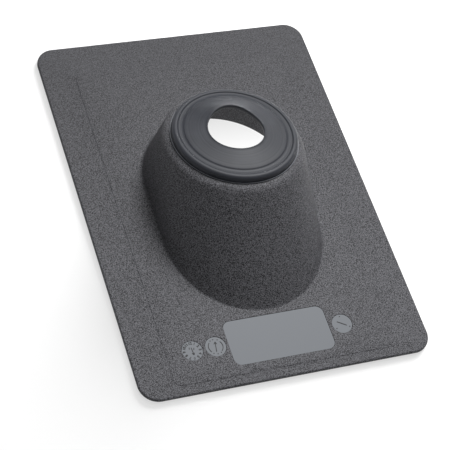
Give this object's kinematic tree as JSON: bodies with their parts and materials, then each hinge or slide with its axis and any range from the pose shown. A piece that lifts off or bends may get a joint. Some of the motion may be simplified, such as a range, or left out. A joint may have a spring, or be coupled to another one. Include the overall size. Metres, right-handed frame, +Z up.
{
  "type": "roof pipe flashing boot",
  "caption": "Rectangular moulded roof flange with a leaning oval boot and a round elastomer sealing collar that grips a vent pipe.",
  "frame": {"origin": "middle of the flange's underside", "axes": "+Z up out of the roof, +Y up the roof slope, towards the edge the boot leans to"},
  "size_m": [0.235, 0.324, 0.068],
  "materials": {
    "flange_plastic": "fine pebbled grain",
    "collar_elastomer": "smooth, soft sheen"
  },
  "bodies": {
    "root": {"flashing_base": "flange_plastic", "sealing_collar": "collar_elastomer"}
  },
  "joints": []
}
